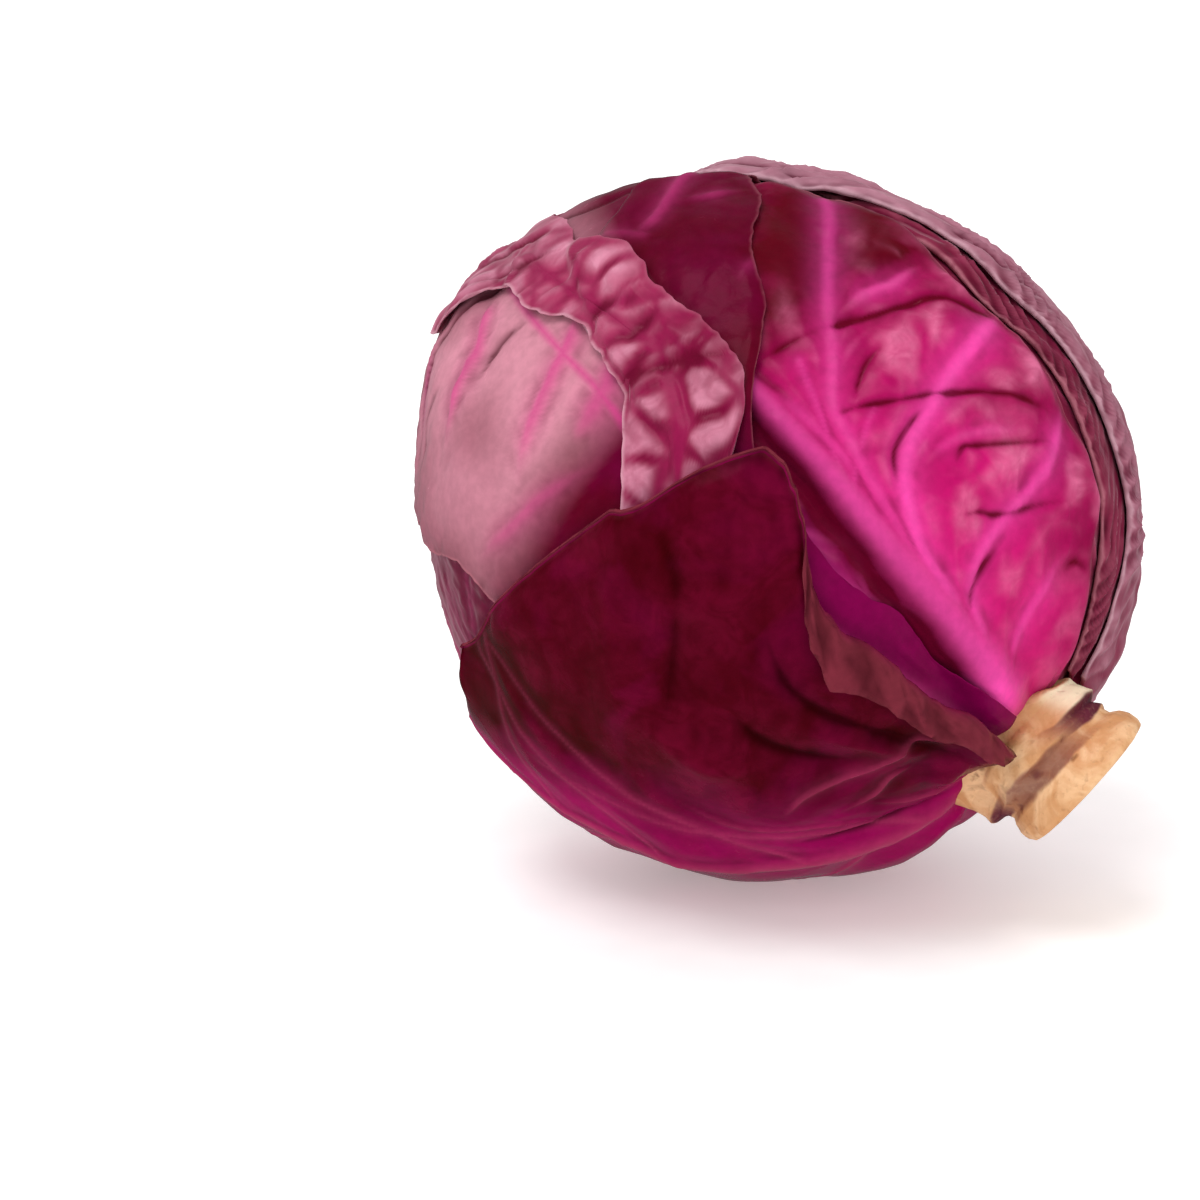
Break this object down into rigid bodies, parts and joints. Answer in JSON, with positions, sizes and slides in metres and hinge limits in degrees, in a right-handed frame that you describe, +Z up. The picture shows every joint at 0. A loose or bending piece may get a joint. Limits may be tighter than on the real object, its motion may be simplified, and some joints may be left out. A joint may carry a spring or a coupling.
{
  "type": "red cabbage",
  "caption": "Whole red cabbage head lying on its side, with loose crimson and magenta outer leaves, a thick midrib and a cut tan stem.",
  "frame": {"origin": "The middle of the flat spot that the head rests on, at the lowest point.", "axes": "+Z up, -Y is the front, +X is to the right as seen from the front. The stem points right, forwards and down."},
  "size_m": [0.1688, 0.1731, 0.1724],
  "materials": {
    "packed_leaves": "waxy leaf, semi-gloss",
    "cut_stem": "dry cut stem, matte",
    "plum_leaf": "waxy leaf, satin",
    "dusty_leaf": "waxy leaf with a pale bloom, satin",
    "bright_leaf": "waxy leaf, glossy",
    "wine_leaf": "waxy leaf, glossy",
    "dark_leaf": "waxy leaf, glossy"
  },
  "bodies": {
    "root": {"packed_head": "packed_leaves", "stem_stump": "cut_stem", "low_back_leaf": "plum_leaf", "back_leaf": "plum_leaf", "right_inner_leaf": "dusty_leaf", "front_leaf": "bright_leaf", "right_middle_leaf": "dusty_leaf", "low_left_leaf": "dusty_leaf", "upper_leaf": "wine_leaf", "torn_leaf": "dusty_leaf", "bottom_leaf": "dark_leaf", "top_leaf": "dusty_leaf"}
  },
  "joints": []
}
